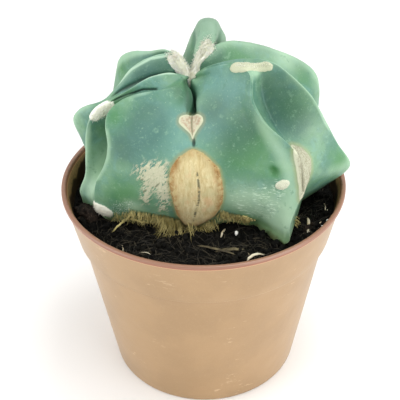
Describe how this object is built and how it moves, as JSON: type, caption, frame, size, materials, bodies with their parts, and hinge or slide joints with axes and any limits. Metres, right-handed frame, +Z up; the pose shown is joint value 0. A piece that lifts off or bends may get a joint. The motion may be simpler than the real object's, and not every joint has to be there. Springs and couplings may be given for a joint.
{
  "type": "potted cactus",
  "caption": "Blue-green bishop's cap cactus with thick irregular ribs and deep folds, cork scars and cream wool, standing in dark peat in a terracotta-coloured plastic growers' pot.",
  "frame": {"origin": "middle of the pot's flat resting face", "axes": "+Z up out of the pot, -Y towards the front of the plant with its large cork scar, +X to the right of that view"},
  "size_m": [0.0855, 0.085, 0.1075],
  "materials": {
    "pot_plastic": "satin moulded, terracotta colour",
    "peat": "loose fibrous potting peat, matte",
    "cactus_skin": "waxy bloom over smooth plant skin",
    "wool": "dense felted plant wool"
  },
  "bodies": {
    "root": {"pot": "pot_plastic", "soil": "peat", "cactus_body": "cactus_skin", "apex_wool": "wool"}
  },
  "joints": []
}
